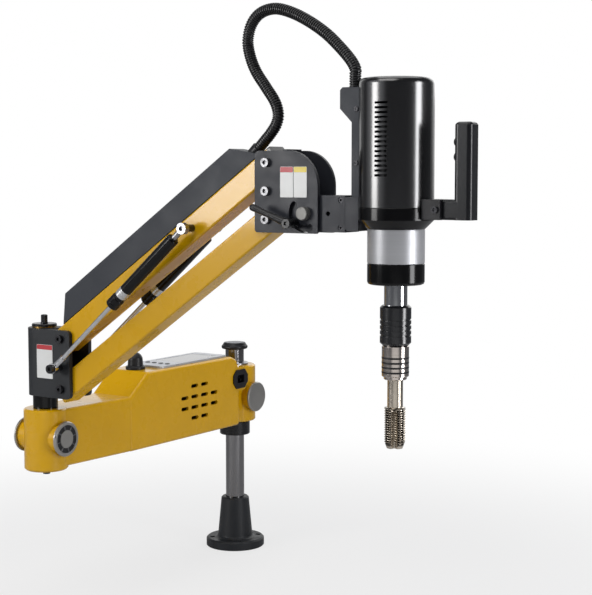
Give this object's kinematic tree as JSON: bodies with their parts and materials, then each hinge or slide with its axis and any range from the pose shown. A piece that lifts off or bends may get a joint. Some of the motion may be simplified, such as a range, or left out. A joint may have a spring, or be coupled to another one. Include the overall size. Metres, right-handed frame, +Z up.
{
  "type": "arm tapping machine",
  "caption": "Radial arm tapping machine: flanged column, cast swing arm, elbow bracket, gas-sprung parallel links and a tilting motor head with chuck and tap.",
  "frame": {"origin": "centre of the base flange's four bolt holes at its underside, on the column's axis", "axes": "+Z up the column; the cast arm lies along -Y at rest and the two links lie along +X, in the elbow's plane"},
  "size_m": [0.8831, 0.6785, 1.032],
  "materials": {
    "aluminium": "turned",
    "black_hose": "ribbed flexible conduit",
    "black_housing": "semi-gloss black paint on aluminium",
    "black_paint": "satin black powder coat",
    "black_plastic": "moulded",
    "black_steel": "blackened steel",
    "bronze": "turned bronze",
    "chrome": "hard chrome",
    "grey_plastic": "moulded",
    "ground_steel": "ground and turned",
    "yellow_paint": "gloss enamel over a casting and square tube",
    "zinc_steel": "bright zinc"
  },
  "bodies": {
    "base": {"base_flange": "black_paint", "column": "chrome", "stop_collar": "black_steel", "collar_screw": "zinc_steel", "column_cap": "black_steel", "cap_disc": "grey_plastic"},
    "arm": {"arm_casting": "yellow_paint", "column_bushes": "bronze", "hub_caps": "ground_steel", "inlet_body": "black_plastic", "inlet_pins": "bronze", "top_panel": "grey_plastic", "cable_gland": "black_plastic", "servo_drive": "aluminium", "elbow_pin": "ground_steel", "elbow_neck": "black_paint", "elbow_washer": "bronze", "elbow_disc": "black_steel", "elbow_screws": "black_steel"},
    "bracket": {"elbow_bracket": "black_paint", "elbow_bushes": "bronze", "elbow_pivot_pins": "zinc_steel", "spring_studs_low": "black_steel"},
    "upper_link": {"upper_link": "yellow_paint", "upper_bushes": "bronze", "cable_cover": "black_paint", "cover_glands": "black_plastic", "spring_studs_high": "black_steel", "hose_low": "black_hose"},
    "lower_link": {"lower_link": "yellow_paint", "lower_bushes": "bronze"},
    "rod_near": {"gas_rod_near": "chrome"},
    "rod_far": {"gas_rod_far": "chrome"},
    "cylinder_near": {"gas_cylinder_near": "black_steel", "gas_eye_near": "chrome"},
    "cylinder_far": {"gas_cylinder_far": "black_steel", "gas_eye_far": "chrome"},
    "head": {"head_bracket": "black_paint", "head_pivot_pins": "zinc_steel", "hose_high": "black_hose"},
    "tilt_head": {"tilt_bar": "black_paint", "tilt_shaft": "ground_steel", "clamp_stud": "black_steel", "motor_bracket": "black_paint", "motor_flange": "black_housing", "motor_housing": "black_housing", "servo_motor": "ground_steel", "conduit_cover": "black_plastic", "head_screws": "zinc_steel", "gear_housing": "aluminium", "bearing_cap": "black_housing", "handle_clamp": "black_housing", "handle_grip": "black_plastic"},
    "lever": {"clamp_lever": "black_steel"},
    "spindle": {"spindle": "ground_steel", "tap_holder": "chrome", "tap": "ground_steel"},
    "sleeve": {"chuck_sleeve": "black_steel"},
    "button_high": {"button_high": "black_plastic"},
    "button_low": {"button_low": "black_plastic"}
  },
  "joints": [
    {"name": "arm_swivel", "type": "hinge", "parent": "base", "child": "arm", "pos_m": [0, 0, 0.2648], "axis": [0, 0, 1], "continuous": true},
    {"name": "elbow_swivel", "type": "hinge", "parent": "arm", "child": "bracket", "pos_m": [0, -0.563, 0.3913], "axis": [0, 0, 1], "range_deg": [-180, 90]},
    {"name": "link_lift", "type": "hinge", "parent": "bracket", "child": "upper_link", "pos_m": [0.062, -0.563, 0.4939], "axis": [0, -1, 0], "range_deg": [-43, 17]},
    {"name": "lower_link_pivot", "type": "hinge", "parent": "bracket", "child": "lower_link", "pos_m": [0.062, -0.563, 0.4079], "axis": [0, -1, 0], "range_deg": [-43.1, 17.1]},
    {"name": "head_level", "type": "hinge", "parent": "upper_link", "child": "head", "pos_m": [0.4855, -0.563, 0.79044], "axis": [0, -1, 0], "range_deg": [-17.1, 43.1], "deforming": ["hose_low"]},
    {"name": "rod_near_pivot", "type": "hinge", "parent": "bracket", "child": "rod_near", "pos_m": [0.061, -0.607, 0.4453], "axis": [0, -1, 0], "range_deg": [-40.41, 16.09]},
    {"name": "rod_far_pivot", "type": "hinge", "parent": "bracket", "child": "rod_far", "pos_m": [0.061, -0.519, 0.4453], "axis": [0, -1, 0], "range_deg": [-40.41, 16.09]},
    {"name": "cylinder_near_slide", "type": "slide", "parent": "rod_near", "child": "cylinder_near", "axis": [0.7535, 0, 0.6575], "range_m": [-0.03059, 0.01222]},
    {"name": "cylinder_far_slide", "type": "slide", "parent": "rod_far", "child": "cylinder_far", "axis": [0.7535, 0, 0.6575], "range_m": [-0.03059, 0.01222]},
    {"name": "head_tilt", "type": "hinge", "parent": "head", "child": "tilt_head", "pos_m": [0.5548, -0.563, 0.71444], "axis": [0, -1, 0], "range_deg": [-60, 55], "deforming": ["hose_high"]},
    {"name": "clamp_lever_turn", "type": "hinge", "parent": "tilt_head", "child": "lever", "pos_m": [0.53718, -0.603, 0.69966], "axis": [0, -1, 0], "range_deg": [-30, 60]},
    {"name": "spindle_spin", "type": "hinge", "parent": "tilt_head", "child": "spindle", "pos_m": [0.6968, -0.563, 0.61444], "axis": [0, 0, 1], "continuous": true},
    {"name": "sleeve_slide", "type": "slide", "parent": "spindle", "child": "sleeve", "axis": [0, 0, 1], "range_m": [0, 0.008], "stiffness_N_per_m": 600, "springref_m": -0.004},
    {"name": "button_high_press", "type": "slide", "parent": "tilt_head", "child": "button_high", "axis": [1, 0, 0], "range_m": [0, 0.0025], "stiffness_N_per_m": 400, "springref_m": -0.001},
    {"name": "button_low_press", "type": "slide", "parent": "tilt_head", "child": "button_low", "axis": [1, 0, 0], "range_m": [0, 0.0025], "stiffness_N_per_m": 400, "springref_m": -0.001}
  ],
  "couplings": [
    {"joint": "lower_link_pivot", "follows": "link_lift", "ratio": 1},
    {"joint": "head_level", "follows": "link_lift", "ratio": -1},
    {"joint": "rod_near_pivot", "follows": "link_lift", "ratio": 0.935},
    {"joint": "rod_far_pivot", "follows": "link_lift", "ratio": 0.935},
    {"joint": "cylinder_near_slide", "follows": "link_lift", "m_per_rad": 0.0405},
    {"joint": "cylinder_far_slide", "follows": "link_lift", "m_per_rad": 0.0405}
  ]
}
